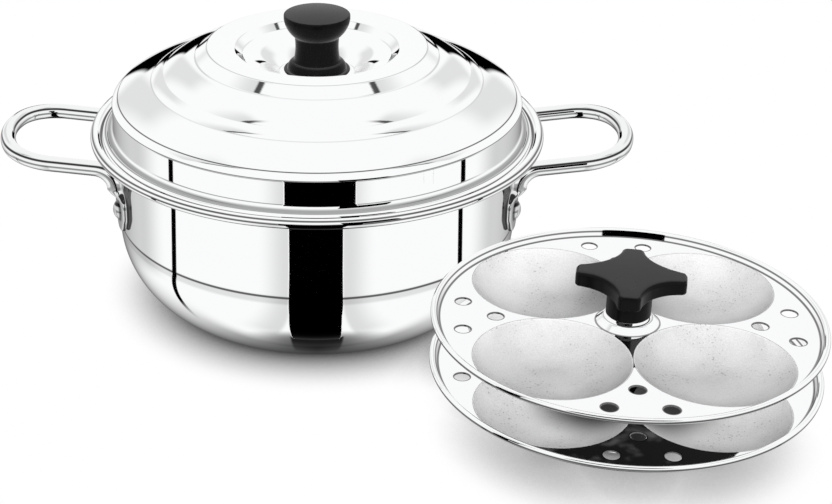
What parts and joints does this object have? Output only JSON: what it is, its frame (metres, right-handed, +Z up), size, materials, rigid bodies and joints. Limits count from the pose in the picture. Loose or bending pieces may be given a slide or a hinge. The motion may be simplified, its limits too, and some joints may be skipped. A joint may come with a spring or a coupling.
{
  "type": "idli steamer",
  "caption": "Polished steel steaming pot with side handles and a domed lid, and a bolted stand of dished, vented idli plates standing beside it.",
  "frame": {"origin": "the middle of the pot's flat base, on the surface that the pot and the stand rest on", "axes": "+X through the pot's two handles, towards the side where the plate stand is; +Z up, out of the pot's mouth"},
  "size_m": [0.4265, 0.365, 0.1652],
  "materials": {
    "polished_steel": "mirror-polished stainless steel",
    "plate_steel": "polished stainless steel with satin dishes",
    "rod_steel": "buffed stainless steel",
    "fastener_steel": "plain turned steel",
    "phenolic": "semi-gloss black moulded phenolic",
    "dark_washer": "matt black heat-proof fibre",
    "brass": "turned brass"
  },
  "bodies": {
    "pot": {"pot_body": "polished_steel", "left_handle": "rod_steel", "right_handle": "rod_steel", "handle_rivets": "rod_steel"},
    "lid": {"lid_shell": "polished_steel", "lid_knob": "phenolic", "lid_knob_washer": "dark_washer", "lid_knob_insert": "brass", "lid_knob_screw": "fastener_steel", "lid_screw_washer": "fastener_steel"},
    "stand": {"stand_foot": "plate_steel", "centre_bolt": "fastener_steel", "spacer_tube": "fastener_steel"},
    "lower_tray": {"lower_plate": "plate_steel"},
    "upper_tray": {"upper_plate": "plate_steel"},
    "knob_washer": {"star_knob_washer": "fastener_steel"},
    "star": {"star_knob": "phenolic", "star_knob_insert": "brass"}
  },
  "joints": [
    {"name": "lid_lift", "type": "slide", "parent": "pot", "child": "lid", "axis": [0, 0, 1], "range_m": [0, 0.12]},
    {"name": "stand_lift", "type": "slide", "parent": "pot", "child": "stand", "axis": [0.3669, -0.3397, 0.866], "range_m": [0, 0.12]},
    {"name": "lower_plate_turn", "type": "hinge", "parent": "stand", "child": "lower_tray", "pos_m": [0.15387, -0.14248, 0.03], "axis": [0, 0, 1], "continuous": true},
    {"name": "upper_plate_turn", "type": "hinge", "parent": "stand", "child": "upper_tray", "pos_m": [0.15387, -0.14248, 0.03], "axis": [0, 0, 1], "continuous": true},
    {"name": "star_turn", "type": "hinge", "parent": "stand", "child": "knob_washer", "pos_m": [0.15387, -0.14248, 0.03], "axis": [0, 0, 1], "range_deg": [0, 2880]},
    {"name": "star_rise", "type": "slide", "parent": "knob_washer", "child": "star", "axis": [0, 0, 1], "range_m": [0, 0.008]}
  ],
  "couplings": [
    {"joint": "star_rise", "follows": "star_turn", "m_per_rad": 0.00015915}
  ]
}
